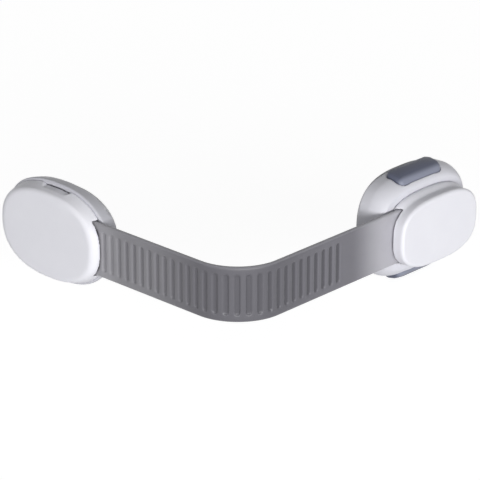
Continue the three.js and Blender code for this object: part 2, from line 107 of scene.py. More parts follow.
camera_turn, camera_tilt = math.radians(CAMERA_AZIMUTH), math.radians(CAMERA_ELEVATION)
camera_right = Vector((math.cos(camera_turn), math.sin(camera_turn), 0))
level_view = Vector((-math.sin(camera_turn), math.cos(camera_turn), 0))
camera_view = level_view * math.cos(camera_tilt) - Vector((0, 0, math.sin(camera_tilt)))
camera_up = camera_right.cross(camera_view)

strap_low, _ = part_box("strap")
half_thickness = STRAP_THICKNESS / 2 * MM
strap_corner = Vector((strap_low.x + half_thickness, strap_low.y + half_thickness, 0))
rightwards, downwards = [(pixel - IMAGE_SIDE / 2) / PIXELS_PER_METRE for pixel in CORNER_PIXEL]
aim = strap_corner - camera_right * rightwards + camera_up * downwards

camera_data = bpy.data.cameras.new("camera")
camera_data.sensor_width = SENSOR
camera_data.lens = PIXELS_PER_METRE * CAMERA_DISTANCE * SENSOR / IMAGE_SIDE
camera = new_object("camera", camera_data)
camera_axes = Matrix((camera_right, camera_up, -camera_view)).transposed().to_4x4()
camera.matrix_world = Matrix.Translation(aim - camera_view * CAMERA_DISTANCE) @ camera_axes
bpy.context.scene.camera = camera
print("camera at", [round(value, 3) for value in camera.matrix_world.translation],
      "lens", round(camera_data.lens, 1))

# %% [markdown]
# ## Node trees as arithmetic
# A node tree is easier to read when its sums look like sums. `Wire` wraps one output socket and
# turns `+`, `-` and `*` into Math nodes. `Tree` makes every other node with one method, and serves
# materials, the world and Geometry Nodes alike.

# %% Wires and trees


class Wire:
    """One output socket of a tree."""

    def __init__(self, tree, socket):
        self.tree = tree
        self.socket = socket

    def other(self, output):
        """Another output of the same node."""
        return Wire(self.tree, self.socket.node.outputs[output])

    def work_out(self, operation, first, second):
        return self.tree.node("ShaderNodeMath", {"operation": operation}, {0: first, 1: second})

    def __add__(self, other):
        return self.work_out("ADD", self, other)

    def __sub__(self, other):
        return self.work_out("SUBTRACT", self, other)

    def __rsub__(self, other):
        return self.work_out("SUBTRACT", other, self)

    def __mul__(self, other):
        return self.work_out("MULTIPLY", self, other)

    __radd__ = __add__
    __rmul__ = __mul__


class Tree:
    """A node tree whose nodes all come from one method."""

    def __init__(self, tree):
        self.tree = tree
        self.tree.nodes.clear()

    def node(self, kind, settings=None, sockets=None, output=0):
        """Makes a node with its settings, then feeds its sockets, and gives one of its outputs."""
        made = self.tree.nodes.new(kind)
        for key, value in (settings or {}).items():
            setattr(made, key, value)
        for key, value in (sockets or {}).items():
            self.feed(made.inputs[key], value)
        return Wire(self, made.outputs[output])

    def feed(self, socket, value):
        """Feeds a socket from a wire, from every wire of a list, or with a plain value."""
        for one in value if isinstance(value, list) else [value]:
            if isinstance(one, Wire):
                self.tree.links.new(one.socket, socket)
            else:
                socket.default_value = one

    def end(self, kind, value):
        """Makes the tree's last node and feeds it."""
        self.feed(self.tree.nodes.new(kind).inputs[0], value)


# %% [markdown]
# ## Paints
# Every finish of the lock is one Principled shader whose colour, gloss and grain change a little
# over the surface. `Paint` starts such a material and names the few patterns that they share. A
# Mix node uses the same socket names for numbers, vectors and colours, so its colour sockets are
# found by their place in the row.

# %% Paints
MIX_SHARE, MIX_FIRST, MIX_SECOND, MIX_COLOUR = 0, 6, 7, 2


def linear(red, green, blue):
    """A screen colour, 0 to 255, as the linear colour that a shader takes (the sRGB curve)."""
    shares = [value / 255 for value in (red, green, blue)]
    curve = [s / 12.92 if s <= 0.04045 else ((s + 0.055) / 1.055) ** 2.4 for s in shares]
    return (*curve, 1)


def between(low, high, share):
    """A value that goes from low to high as the share goes from 0 to 1."""
    return low + (high - low) * share


class Paint(Tree):
    """A material with one Principled shader, whose sockets are named with underscores."""

    def __init__(self, name, **constants):
        self.material = bpy.data.materials.new(name)
        self.material.use_nodes = True
        super().__init__(self.material.node_tree)
        self.shader = self.node("ShaderNodeBsdfPrincipled")
        self.end("ShaderNodeOutputMaterial", self.shader)
        self.finish(**constants)

    def noise(self, size, detail=2):
        """Soft random blotches of about this size in metres, from 0 to 1."""
        place = self.node("ShaderNodeTexCoord", output="Object")
        sockets = {"Vector": place, "Scale": 1 / size, "Detail": detail}
        return self.node("ShaderNodeTexNoise", None, sockets)

    def attribute(self, name):
        return self.node("ShaderNodeAttribute", {"attribute_name": name}, output="Fac")

    def ease(self, value, low, high):
        """0 below low, 1 above high and a smooth step between them."""
        sockets = {"Value": value, "From Min": low, "From Max": high}
        return self.node("ShaderNodeMapRange", {"interpolation_type": "SMOOTHSTEP"}, sockets)

    def mix(self, share, first, second):
        sockets = {MIX_SHARE: share, MIX_FIRST: first, MIX_SECOND: second}
        return self.node("ShaderNodeMix", {"data_type": "RGBA"}, sockets, output=MIX_COLOUR)

    def bump(self, height, depth, strength):
        sockets = {"Height": height, "Distance": depth, "Strength": strength}
        return self.node("ShaderNodeBump", None, sockets)

    def finish(self, **values):
        for socket, value in values.items():
            self.feed(self.shader.socket.node.inputs[socket.replace("_", " ")], value)
        return self.material


print("screen grey 128 is", round(linear(128, 128, 128)[0], 3), "for a shader")

# %% [markdown]
# ## Moulded plastic
# The pods are satin white plastic: almost one colour, with a faint cloudiness from moulding and a
# very fine grain that breaks up the gloss. The housing and the anchor's base each get their own
# darker copy of that white as painted shade, for sides that turn from the light. The buttons have
# the same grain in slate, with a painted highlight along the front edge. An image could be wrapped
# round these shells, but noise needs no file and shows no seam.

# %% Plastics
GRAIN, CLOUD = 0.25 * MM, 9 * MM
GRAIN_SHARE, CLOUD_SHARE = 0.6, 0.4
GRAIN_STRENGTH = 0.35
FINE_GRAIN, COARSE_GRAIN = 0.012 * MM, 0.02 * MM
PLASTIC_GLOSS = 0.3
SATIN, SOFT_SATIN, MATT = (0.36, 0.52), (0.4, 0.54), (0.5, 0.65)


def moulded_plastic(name, light, dark, roughness, grain_depth, rubbed=None):
    """Satin plastic; the optional paler colour is a painted highlight where that attribute marks an
    edge.
    """
    paint = Paint(name, Specular_IOR_Level=PLASTIC_GLOSS)
    cloud = paint.noise(CLOUD, detail=3)
    grain = paint.noise(GRAIN)
    colour = paint.mix(cloud, linear(*light), linear(*dark))
    # The optional paler colour is a painted highlight along the marked edge.
    if rubbed:
        colour = paint.mix(paint.attribute("rubbed"), colour, linear(*rubbed))
    return paint.finish(
        Base_Color=colour,
        Roughness=between(*roughness, GRAIN_SHARE * grain + CLOUD_SHARE * cloud),
        Normal=paint.bump(grain, grain_depth, GRAIN_STRENGTH),
    )


white_shell = moulded_plastic(
    "white_shell", (240, 240, 246), (234, 234, 241), SOFT_SATIN, FINE_GRAIN)
# Painted shade: the housing and the anchor's base get darker copies of the same white.
rear_shell = moulded_plastic(
    "rear_shell", (221, 221, 228), (215, 215, 222), SATIN, FINE_GRAIN)
base_shell = moulded_plastic(
    "base_shell", (204, 204, 211), (198, 198, 205), SATIN, FINE_GRAIN)
inner_plastic = moulded_plastic(
    "inner_plastic", (222, 222, 226), (210, 210, 215), MATT, COARSE_GRAIN)
# The slate buttons get a painted highlight along their front edge.
slate_button = moulded_plastic(
    "slate_button", (88, 92, 109), (82, 86, 102), SATIN, COARSE_GRAIN, rubbed=(136, 140, 156))
plastics = (white_shell, rear_shell, base_shell, inner_plastic, slate_button)
print("plastics:", [material.name for material in plastics])

# %% [markdown]
# ## Foam and steel
# The foam tape behind the pods and the steel of screws and spring are mostly hidden, but show when
# the lock opens or is turned round. Foam is a heap of small cells, which is what a Voronoi pattern
# draws. Plated steel is smooth, and fine scuffs change its gloss.

# %% Foam and steel
FOAM_CELL, FOAM_DENT, FOAM_STRENGTH = 0.45 * MM, 0.12 * MM, 0.8
FOAM_ROUGHNESS = (0.82, 0.97)
SCUFF, SCUFF_DEPTH, SCUFF_STRENGTH = 0.6 * MM, 0.01 * MM, 0.4
STEEL_ROUGHNESS = (0.25, 0.45)

foam = Paint("foam_tape")
foam_place = foam.node("ShaderNodeTexCoord", output="Object")
cells = foam.node("ShaderNodeTexVoronoi", None, {"Vector": foam_place, "Scale": 1 / FOAM_CELL})
foam_tape = foam.finish(
    Base_Color=foam.mix(cells, linear(186, 187, 190), linear(214, 215, 218)),
    Roughness=between(*FOAM_ROUGHNESS, cells),
    Normal=foam.bump(cells, FOAM_DENT, FOAM_STRENGTH),
)

plated = Paint("steel", Metallic=1.0)
scuffs = plated.noise(SCUFF, detail=4)
steel = plated.finish(
    Base_Color=plated.mix(scuffs, linear(176, 178, 184), linear(200, 202, 206)),
    Roughness=between(*STEEL_ROUGHNESS, scuffs),
    Normal=plated.bump(scuffs, SCUFF_DEPTH, SCUFF_STRENGTH),
)
print("also:", foam_tape.name, steel.name)

# %% [markdown]
# ## Each pod has its own drawing board
# The two pods face different ways, so each is drawn lying flat, in millimetres: first along its
# length, then up its height, then out from the furniture. The pod's adhesive face in the packed
# record says where that board lies in the lock.

# %% Drawing boards


def pod_board(mount_name):
    mount = next(one for one in frame["record"]["mounts"] if one["name"] == mount_name)
    out = -Vector(mount["axis"])
    up = Vector((0, 0, 1))
    facing = Matrix((up.cross(out), up, out)).transposed().to_4x4()
    return Matrix.Translation(mount["pos_m"]) @ facing @ Matrix.Scale(MM, 4)


latch_board = pod_board("latch_adhesive")
anchor_board = pod_board("anchor_adhesive")
lock_board = Matrix.Scale(MM, 4)
for title, board in (("latch", latch_board), ("anchor", anchor_board)):
    print(title, "board at", [round(value, 4) for value in board.translation])

# %% [markdown]
# ## Solid shapes
# A pod is a pebble: a stack of rounded ovals (superellipses), drawn in or out from level to level.
# A subdivided box would give a similar pebble, but ovals keep each size in one number. Blocks and
# rods are stacks too.

# %% Solids
OVAL_POINTS = 200
ROD_POINTS = 32


def new_piece(name, vertices, faces):
    mesh = bpy.data.meshes.new(name)
    mesh.from_pydata([tuple(vertex) for vertex in vertices], [], faces)
    return new_object(name, mesh)


def stack(name, rings):
    """A closed solid from rings of points, each with as many points as the next."""
    count = len(rings[0])
    vertices = [point for ring in rings for point in ring]
    faces = [list(range(count))[::-1], list(range(len(vertices) - count, len(vertices)))]
    for ring in range(len(rings) - 1):
        for i in range(count):
            a, b = ring * count + i, ring * count + (i + 1) % count
            faces.append((a, b, b + count, a + count))
    return new_piece(name, vertices, faces)


def raised(name, outline, low, high):
    """The solid that an outline sweeps from one level to another."""
    return stack(name, [[(x, y, level) for x, y in outline] for level in (low, high)])


def oval(length, height, power, ends, sides=None):
    """A rounded oval, drawn in by one inset, or by one at its ends and another above and below."""
    turns = np.linspace(0, 2 * math.pi, OVAL_POINTS, endpoint=False)
    cosine, sine = np.cos(turns), np.sin(turns)
    half_height = height / 2 - (ends if sides is None else sides)
    across = (length / 2 - ends) * np.sign(cosine) * np.abs(cosine) ** (2 / power)
    upward = half_height * np.sign(sine) * np.abs(sine) ** (2 / power)
    return np.stack([across, upward], 1)


def pebble(name, shape, stations):
    """A solid from stations along its depth, each a level followed by one or two insets."""
    rings = [[(x, y, level) for x, y in oval(*shape, *insets)] for level, *insets in stations]
    return stack(name, rings)


def block(low, high):
    (x0, y0, z0), (x1, y1, z1) = low, high
    return raised("block", [(x0, y0), (x1, y0), (x1, y1), (x0, y1)], z0, z1)


def rounded_oblong(length, height, radius, steps=10):
    points = []
    for quarter, (side, top) in enumerate([(1, 1), (-1, 1), (-1, -1), (1, -1)]):
        for step in range(steps + 1):
            angle = math.pi / 2 * (quarter + step / steps)
            points.append((side * (length / 2 - radius) + radius * math.cos(angle),
                           top * (height / 2 - radius) + radius * math.sin(angle)))
    return points


def rounded_block(length, height, radius, low, high):
    return raised("block", rounded_oblong(length, height, radius), low, high)


def rod(radius, low, high, x=0, y=0):
    turns = [2 * math.pi * i / ROD_POINTS for i in range(ROD_POINTS)]
    circle = [(x + radius * math.cos(t), y + radius * math.sin(t)) for t in turns]
    return raised("rod", circle, low, high)


def turned(piece, angle, axis):
    piece.data.transform(Matrix.Rotation(math.radians(angle), 4, axis))
    return piece


# %% [markdown]
# ## Joining, cutting and moulding
# Solids join and cut one another with Boolean modifiers. Cutting leaves knife edges, which no
# moulded part has. A Bevel would have to find each of those edges, so each shell is instead
# rebuilt from small voxels and smoothed a little, which rounds every edge at once.

# %% From solids to finished pieces
VOXEL = 0.27
SMOOTH_FACTOR = 0.5


def plain_mesh(piece):
    """The mesh that a piece's modifiers make of it."""
    graph = bpy.context.evaluated_depsgraph_get()
    return bpy.data.meshes.new_from_object(piece.evaluated_get(graph))


def apply_modifiers(piece):
    made = plain_mesh(piece)
    piece.modifiers.clear()
    piece.data = made
    return piece


def work(piece, tools, operation):
    for tool in tools:
        modifier = piece.modifiers.new("work", "BOOLEAN")
        modifier.operation = operation
        modifier.solver = "MANIFOLD"
        modifier.object = tool
    apply_modifiers(piece)
    for tool in tools:
        bpy.data.objects.remove(tool)
    return piece


def cut(piece, *tools):
    return work(piece, tools, "DIFFERENCE")


def join(piece, *tools):
    return work(piece, tools, "UNION")


def settle(piece, board):
    """Sets a piece in its place in the lock."""
    piece.data.transform(board)
    piece.data.shade_smooth()
    return piece


def mould(piece, board, smoothing=4):
    """Rebuilds a piece from voxels, softens its edges and sets it in its place."""
    remesh = piece.modifiers.new("remesh", "REMESH")
    remesh.mode = "VOXEL"
    remesh.voxel_size = VOXEL
    remesh.use_smooth_shade = True
    smooth = piece.modifiers.new("smooth", "SMOOTH")
    smooth.factor = SMOOTH_FACTOR
    smooth.iterations = smoothing
    return settle(apply_modifiers(piece), board)


def dress(piece, material, body, slot, *nodes):
    """Paints a finished piece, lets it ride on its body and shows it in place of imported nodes."""
    piece.data.materials.clear()
    piece.data.materials.append(material)
    if body:
        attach(piece, body)
    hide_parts(*nodes)
    triangles = sum(len(face.vertices) - 2 for face in piece.data.polygons)
    print(piece.name, "triangles:", triangles)
    return piece


# %% [markdown]
# ## Latch housing: its side
# The housing is the white pod on the right. `POD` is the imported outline, which the hollow, the
# adhesive pad and the buttons follow. `HOUSING` is the lower, squarer outline that the photograph
# shows. The shoulder slopes in to the front rim, far above and below and a little at the ends. A
# superellipse gives it a full curve with one number for its roundness.

# %% Housing side
POD = (42.4, 35.2, 2.8)
HOUSING = (42.4, 33.2, 3.4)
POD_BACK, HOUSING_FRONT = 1.3, 10.6
HOUSING_TAPER = 0.1
SHOULDER_BACK = 5
SHOULDER_ENDS, SHOULDER_SIDES, SHOULDER_POWER = 1.8, 3.5, 1.7
SHOULDER_STEPS = 24
HEEL, HEEL_STEPS = 0.3, 6


def shoulder(front, inset, sides=SHOULDER_SIDES, power=SHOULDER_POWER):
    """From the widest level to the front: levels, insets at the ends, insets above and below."""
    stations = []
    for angle in np.linspace(0, math.pi / 2, SHOULDER_STEPS):
        level = SHOULDER_BACK + (front - SHOULDER_BACK) * np.sin(angle) ** (2 / power)
        drawn = 1 - np.cos(angle) ** (2 / power)
        stations.append((level, inset + SHOULDER_ENDS * drawn, inset + sides * drawn))
    return stations


def heeled(stations, radius=HEEL, steps=HEEL_STEPS):
    """The same side with its first corner rounded."""
    level, *insets = stations[0]
    heel = []
    for angle in [math.pi / 2 * i / steps for i in range(steps + 1)]:
        drawn = [inset + radius * (1 - math.sin(angle)) for inset in insets]
        heel.append((level + radius * (1 - math.cos(angle)), *drawn))
    return heel + [station for station in stations if station[0] > level + radius]


pod_foot = [(POD_BACK, HOUSING_TAPER, HOUSING_TAPER)]
housing_side = heeled(pod_foot + shoulder(HOUSING_FRONT, 0))
print("housing side:", len(housing_side), "levels")

# %% [markdown]
# ## Latch housing: its openings
# The shell is hollow and open at the back. It has an opening above and below for the buttons, and
# a tray in its front that takes the cap's hook plate, with two windows for the hooks. Two bosses
# take the screws of the base plate. All of these are joined to the pebble or cut from it. `FAR`
# and `PAST` say how far a cutting tool reaches beyond the shell, so that no skin is left.

# %% Latch housing
SEAT = 0.3
WALL = 1.6
FAR, PAST = 40, 1
PLATE_FRONT = 2.5
DECK_BACK = 9.2
TRAY = (31, 19.6, 3.5)
TRAY_BACK, TRAY_FRONT, TRAY_WALL = 7.2, 8.6, 1.2
BUTTON = (20.5, 6.7, 2.2)
BUTTON_MIDDLE, BUTTON_GAP = 6.05, 0.12
OPENING_LOW = 10.7
HOOK_AT, HOOK_OUTER, HOOK_HALF, BARB_REACH = 7, 8.6, 3.5, 1
BASE_SCREW_AT = 12.5
BOSS, PILOT, BOSS_RISE = 2.5, 1.2, 1.2
HALF_TURNS = (0, 180)


def button_opening(half_turn):
    length, depth, radius = [size + BUTTON_GAP * share for size, share in zip(BUTTON, (2, 2, 1))]
    tool = rounded_block(length, depth, radius, OPENING_LOW, FAR)
    turned(tool, -90, "X").data.transform(Matrix.Translation((0, 0, BUTTON_MIDDLE)))
    return turned(tool, half_turn, "Z")


def hook_window(half_turn):
    low = (-HOOK_HALF - SEAT, HOOK_AT - BARB_REACH - SEAT, TRAY_BACK - PAST)
    return turned(block(low, (HOOK_HALF + SEAT, HOOK_OUTER + SEAT, FAR)), half_turn, "Z")


housing = pebble("housing", HOUSING, housing_side)
housing_hollow = [(level, HOUSING_TAPER + WALL) for level in (0, POD_BACK)]
cut(housing, pebble("hollow", POD, housing_hollow + shoulder(DECK_BACK, WALL)))
tray_length, tray_height, tray_corner = TRAY
join(housing, rounded_block(tray_length + 2 * TRAY_WALL, tray_height + 2 * TRAY_WALL,
                            tray_corner + TRAY_WALL, TRAY_BACK, DECK_BACK + SEAT))
cut(housing, rounded_block(*TRAY, TRAY_FRONT, FAR), *[hook_window(half) for half in HALF_TURNS],
    *[button_opening(half) for half in HALF_TURNS])
base_screws = (BASE_SCREW_AT, -BASE_SCREW_AT)
join(housing, *[rod(BOSS, PLATE_FRONT + BOSS_RISE, TRAY_BACK + SEAT, x) for x in base_screws])
cut(housing, *[rod(PILOT, POD_BACK, TRAY_BACK - SEAT, x) for x in base_screws])
dress(mould(housing, latch_board), rear_shell, "latch", "white_shell", "latch_housing")

# %% [markdown]
# ## Buttons: the face
# A button's face stands a little proud of the housing and stays high until close to its front
# edge, so its height is worked out from the pod's ovals with a fuller shoulder. Rings that shrink
# inwards give it a rounded edge all the way round, which catches the light along the front.

# %% Button face
BUTTON_PROUD = 0.7
CROWN_SIDES, CROWN_POWER = 5.4, 1.9
BUTTON_ROUND, BUTTON_STEPS = 1, 8
FACE_SCALES = (0.85, 0.7, 0.5, 0.3, 0.1)
HEAD_LOW = 13.9

crown = pod_foot + shoulder(HOUSING_FRONT, 0, CROWN_SIDES, CROWN_POWER)


def crown_height(along, level):
    """How high the button's face stands above the pod's middle."""
    length, height, power = POD
    levels, ends, sides = zip(*crown)
    half_length = length / 2 + BUTTON_PROUD - np.interp(level, levels, ends)
    half_height = height / 2 + BUTTON_PROUD - np.interp(level, levels, sides)
    return half_height * (1 - abs(along / half_length) ** power) ** (1 / power)


def button_ring(inset, scale, drop):
    """One ring of the face, this far below the crown, or at the head's foot if drop is None."""
    length, depth, radius = BUTTON
    ring = []
    for x, y in rounded_oblong(length - 2 * inset, depth - 2 * inset, radius - inset):
        along, level = x * scale, BUTTON_MIDDLE - y * scale
        height = HEAD_LOW if drop is None else crown_height(along, level) - drop
        ring.append((along, height, level))
    return ring


def button_face(name):
    rings = [button_ring(0, 1, None)]
    for angle in [math.pi / 2 * i / BUTTON_STEPS for i in range(BUTTON_STEPS + 1)]:
        inset, drop = BUTTON_ROUND * (1 - math.cos(angle)), BUTTON_ROUND * (1 - math.sin(angle))
        rings.append(button_ring(inset, 1, drop))
    rings += [button_ring(BUTTON_ROUND, scale, 0) for scale in FACE_SCALES]
    return stack(name, rings)


print("button face:", round(crown_height(0, BUTTON_MIDDLE), 2), "mm above the pod's middle")

# %% [markdown]
# ## Buttons: the inner end
# Behind the face are the neck, the flange that keeps the button in, and the slider with a window
# for the hook and a seat for the spring. They are plain moulded bars, so blocks do. The front edge,
# where the rounded face turns to the light, gets an attribute for a painted highlight, which the
# slate finish reads.

# %% Buttons
FLANGE_LOW, FLANGE_HIGH, FLANGE_HALF = 12.2, 13.4, 11.25
NECK_BACK = 3
SLIDER_BACK, SLIDER_FRONT, SLIDER_HALF = 5.3, 6.8, 5.5
END_BAR, WINDOW_END = 4.5, 11.5
SPRING_SEAT_HALF, SPRING_SEAT_RISE = 1.55, 1
# Levels over which the front edge takes its painted highlight.
EDGE_HIGHLIGHT_FROM, EDGE_HIGHLIGHT_TO = 8.1, 9


def button(name, half_turn):
    piece = button_face(name)
    half = BUTTON[0] / 2 - SEAT
    neck = block((-half, FLANGE_LOW, NECK_BACK), (half, HEAD_LOW + SEAT, SLIDER_FRONT))
    flange = block((-FLANGE_HALF, FLANGE_LOW, NECK_BACK), (FLANGE_HALF, FLANGE_HIGH, SLIDER_FRONT))
    slider = block((-SLIDER_HALF, END_BAR, SLIDER_BACK),
                   (SLIDER_HALF, FLANGE_LOW + SEAT, SLIDER_FRONT))
    cut(slider, block((-HOOK_HALF - SEAT, HOOK_AT - SEAT, SLIDER_BACK - PAST),
                      (HOOK_HALF + SEAT, WINDOW_END, SLIDER_FRONT + PAST)))
    seat = block((-SPRING_SEAT_HALF, END_BAR, SLIDER_FRONT - 2 * SPRING_SEAT_HALF),
                 (SPRING_SEAT_HALF, END_BAR + SPRING_SEAT_RISE, SLIDER_FRONT))
    join(piece, neck, slider, flange, seat)
    # This attribute marks the painted highlight along the front edge.
    levels = [vertex.co.z for vertex in piece.data.vertices]
    rubbed = np.interp(levels, (EDGE_HIGHLIGHT_FROM, EDGE_HIGHLIGHT_TO), (0, 1))
    attribute = piece.data.attributes.new("rubbed", "FLOAT", "POINT")
    attribute.data.foreach_set("value", rubbed.astype(np.float32))
    return settle(turned(piece, half_turn, "Z"), latch_board)


dress(button("upper_button_cap", 0), slate_button, "upper_button", "slate_button", "top_button")
dress(button("lower_button_cap", 180), slate_button, "lower_button", "slate_button",
      "bottom_button")

# %% [markdown]
# ## The cap on the strap's end
# The cap is a smaller pebble in front of the housing. Its wall flares out like a foot towards the
# housing, and its flat face has a crisp rounded edge with a small lip. A straight wall with a
# bevel would be quicker, but the photograph shows the waist. The strap enters through a notch in
# the wall on the side of the corner.

# %% Cap side
CAP = (37, 23.8, 2.8)
CAP_BACK, CAP_FRONT = 10.65, 17.6
CAP_FOOT, CAP_WAIST, CAP_EDGE = 11.6, 14.2, 1
DRAFT_ENDS, DRAFT_SIDES, CAP_LIP = 0.5, 0.9, 0.1
CAP_STEPS = 24


def smooth_step(value, low, high):
    share = np.clip((value - low) / (high - low), 0, 1)
    return share * share * (3 - 2 * share)


def front_round(radius, level, inset, steps=10):
    """A quarter round that ends at a level, as pairs of level and inset."""
    angles = [math.pi / 2 * i / steps for i in range(1, steps + 1)]
    return [(level - radius * (1 - math.sin(angle)), inset + radius * (1 - math.cos(angle)))
            for angle in angles]


lip_back = CAP_FRONT - CAP_EDGE
cap_wall = []
for level in np.linspace(CAP_BACK, lip_back, CAP_STEPS):
    lean = smooth_step(level, CAP_FOOT, CAP_WAIST)
    lip = CAP_LIP * smooth_step(level, CAP_WAIST, lip_back)
    cap_wall.append((level, DRAFT_ENDS * lean - lip, DRAFT_SIDES * lean - lip))
_, wall_ends, wall_sides = cap_wall[-1]
cap_edge = [(level, wall_ends + inset, wall_sides + inset)
            for level, inset in front_round(CAP_EDGE, CAP_FRONT, 0)]
print("cap side:", len(cap_wall) + len(cap_edge), "levels")

# %% [markdown]
# ## The cap's shell
# A narrow groove parts the cap from the housing, so its back corner is cut at a slant. Inside, two
# short bosses press on the strap's tongue and a longer one stands on the far side.

# %% Strap cap
GROOVE = 0.3
NOTCH_GAP = 0.55
STRAP_HALF = 9.15
STRAP_ON_LATCH = (11.1, 12.9)
TONGUE_END = 7.5
SCREW_AT, SCREW_SIDE = 11, 5

cap = pebble("cap", CAP, heeled(cap_wall, GROOVE, steps=1) + cap_edge)
cap_hollow = [(CAP_BACK - PAST, WALL, WALL)]
cap_hollow += [(level, ends + WALL, sides + WALL) for level, ends, sides in cap_wall
               if level < CAP_FRONT - WALL]
cut(cap, pebble("hollow", CAP, cap_hollow))
cut(cap, block((-FAR, -STRAP_HALF, CAP_BACK - PAST),
               (SEAT - TONGUE_END, STRAP_HALF, STRAP_ON_LATCH[1] + NOTCH_GAP)))
tongue_places = [(-SCREW_AT, SCREW_SIDE), (-SCREW_AT, -SCREW_SIDE)]
far_place = (SCREW_AT, 0)
boss_top = CAP_FRONT - WALL + SEAT
join(cap, *[rod(BOSS, STRAP_ON_LATCH[1] + SEAT, boss_top, *place) for place in tongue_places],
     rod(BOSS, STRAP_ON_LATCH[0], boss_top, *far_place))
cap_places = tongue_places + [far_place]
cut(cap, *[rod(PILOT, CAP_BACK, CAP_FRONT - WALL, *place) for place in cap_places])
dress(mould(cap, latch_board), white_shell, "strap_end", "white_shell", "strap_cap")

# %% [markdown]
# ## The anchor's base
# The anchor never opens in use. Its base is a bowl that widens towards its rim, so its side is a
# smooth curve through three measured points. A bed in the bowl carries the strap's tongue, and
# three screws come up from the back.

# %% Anchor base
ANCHOR = (45, 32.6, 2.35)
ANCHOR_RIM, ANCHOR_TAPER = 7.1, 1.3
STRAP_BED = 6.8
RIM_ROUND, BACK_ROUND = 0.5, 1.2
BASE_SIDE = [(POD_BACK, ANCHOR_TAPER), (4.2, 0.45), (ANCHOR_RIM - RIM_ROUND, 0)]
BASE_STEPS, RIM_STEPS = 14, 6
HEAD_HOLE, COUNTERBORE = 2, 1.1


def curve_through(points, steps):
    levels, insets = zip(*points)
    polynomial = np.polyfit(levels, insets, len(points) - 1)
    even = np.linspace(levels[0], levels[-1], steps)
    return [(level, np.polyval(polynomial, level)) for level in even]


base_side = curve_through(BASE_SIDE, BASE_STEPS)
base_rim = front_round(RIM_ROUND, ANCHOR_RIM, 0, RIM_STEPS)
base = pebble("base", ANCHOR, heeled(base_side, BACK_ROUND) + base_rim)
base_hollow = [(POD_BACK + WALL, ANCHOR_TAPER + WALL)]
base_hollow += [(level, WALL) for level in (ANCHOR_RIM - SEAT, ANCHOR_RIM + PAST)]
cut(base, pebble("hollow", ANCHOR, base_hollow))
bed = block((TONGUE_END, -STRAP_HALF, POD_BACK), (FAR, STRAP_HALF, STRAP_BED))
work(bed, [pebble("trim", ANCHOR, heeled(base_side))], "INTERSECT")
join(base, bed, rod(BOSS, POD_BACK + SEAT, ANCHOR_RIM, -SCREW_AT, 0))
cut(base, block((TONGUE_END, -STRAP_HALF, STRAP_BED), (FAR, STRAP_HALF, FAR)))
anchor_places = [(SCREW_AT, SCREW_SIDE), (SCREW_AT, -SCREW_SIDE), (-SCREW_AT, 0)]
cut(base, *[rod(PILOT, 0, FAR, *place) for place in anchor_places],
    *[rod(HEAD_HOLE, 0, POD_BACK + COUNTERBORE, *place) for place in anchor_places])
dress(mould(base, anchor_board), base_shell, "anchor", "white_shell", "anchor_base")

# %% [markdown]
# ## The anchor's cover
# The cover's walls lean in above and below and end in a tight rounded edge there, and its two ends
# have a broader round. So a side is drawn twice, once for the ends and once for above and below,
# on the same levels. A slot with leaning ends, above and below, lets a coin pry the cover off.

# %% Cover side and slots
COVER_BACK, COVER_FRONT, COVER_INSET = 7.12, 12, 0.7
EDGE_ENDS, EDGE_SIDES, COVER_DRAFT = 3, 1.5, 1.2
COVER_STEPS, EDGE_STEPS = 40, 16
PRY_AT, PRY_HALF, PRY_RISE, PRY_DEPTH = 1.5, 7.4, 3.6, 0.92
PRY_LEAN = 2.2
PRY_LOW, PRY_HIGH = 13.5, 18


def cover_side(radius, draft):
    """From back to front: a wall that leans in by its draft, and a round edge."""
    wall = [(COVER_BACK, COVER_INSET), (COVER_FRONT - radius, COVER_INSET + draft)]
    edge = front_round(radius, COVER_FRONT, COVER_INSET + draft, EDGE_STEPS)
    levels, insets = zip(*wall, *edge)
    closer_in_front = np.sqrt(np.linspace(0, 1, COVER_STEPS))
    drawn = COVER_BACK + (COVER_FRONT - COVER_BACK) * closer_in_front
    return list(zip(drawn, np.interp(drawn, levels, insets)))


def pry_slot(low, high):
    """A slot between two heights, with leaning ends and a floor that follows the cover's oval."""
    back, front = COVER_BACK - PAST, COVER_BACK + PRY_RISE
    rings = []
    for height in (low, high):
        half = PRY_HALF + PRY_LEAN * (abs(height) - ANCHOR[1] / 2 + COVER_INSET)
        corners = [(-half, back), (-half, front), (half, front), (half, back)]
        rings.append([(PRY_AT + x, height, level) for x, level in corners])
    core = pebble("core", ANCHOR, [(level, COVER_INSET + PRY_DEPTH) for level in (0, FAR)])
    return cut(stack("pry", rings), core)


cover_ends, cover_sides = cover_side(EDGE_ENDS, 0), cover_side(EDGE_SIDES, COVER_DRAFT)
cover_wall = [(level, end, side) for (level, end), (_, side) in zip(cover_ends, cover_sides)]
print("cover side:", len(cover_wall), "levels")

# %% [markdown]
# ## The cover's shell
# The cover is hollowed like the cap, with a notch for the strap. Two of its bosses press the strap
# on to the bed, and the third meets a boss of the base. A narrow groove parts it from the base.

# %% Anchor cover
COVER_GROOVE, COVER_WALL = 0.25, 2.1
STRAP_ON_ANCHOR = (7.1, 8.9)

